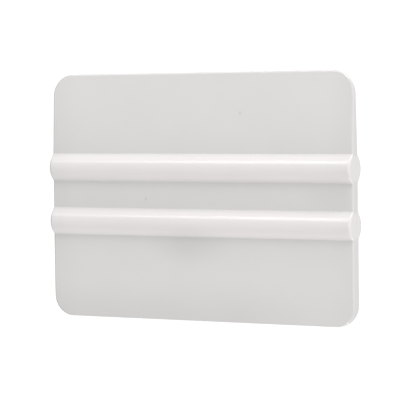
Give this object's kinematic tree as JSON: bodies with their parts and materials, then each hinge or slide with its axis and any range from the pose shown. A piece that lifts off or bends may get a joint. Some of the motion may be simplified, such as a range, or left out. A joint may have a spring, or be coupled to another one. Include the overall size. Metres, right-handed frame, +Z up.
{
  "type": "squeegee applicator",
  "caption": "Flat plastic hand squeegee with rounded corners, a thin and a firm working edge, and rounded grip bars across both faces.",
  "frame": {"origin": "centre of the card, halfway between its two working edges and between its two faces", "axes": "the squeegee lies flat on its grip bars: +X along the working edges and the grip bars, +Y across the card to its thin working edge, +Z up out of its front face"},
  "size_m": [0.1, 0.073, 0.0082],
  "materials": {
    "white_plastic": "semi-gloss moulded, slightly translucent"
  },
  "bodies": {
    "root": {"squeegee_body": "white_plastic"}
  },
  "joints": []
}
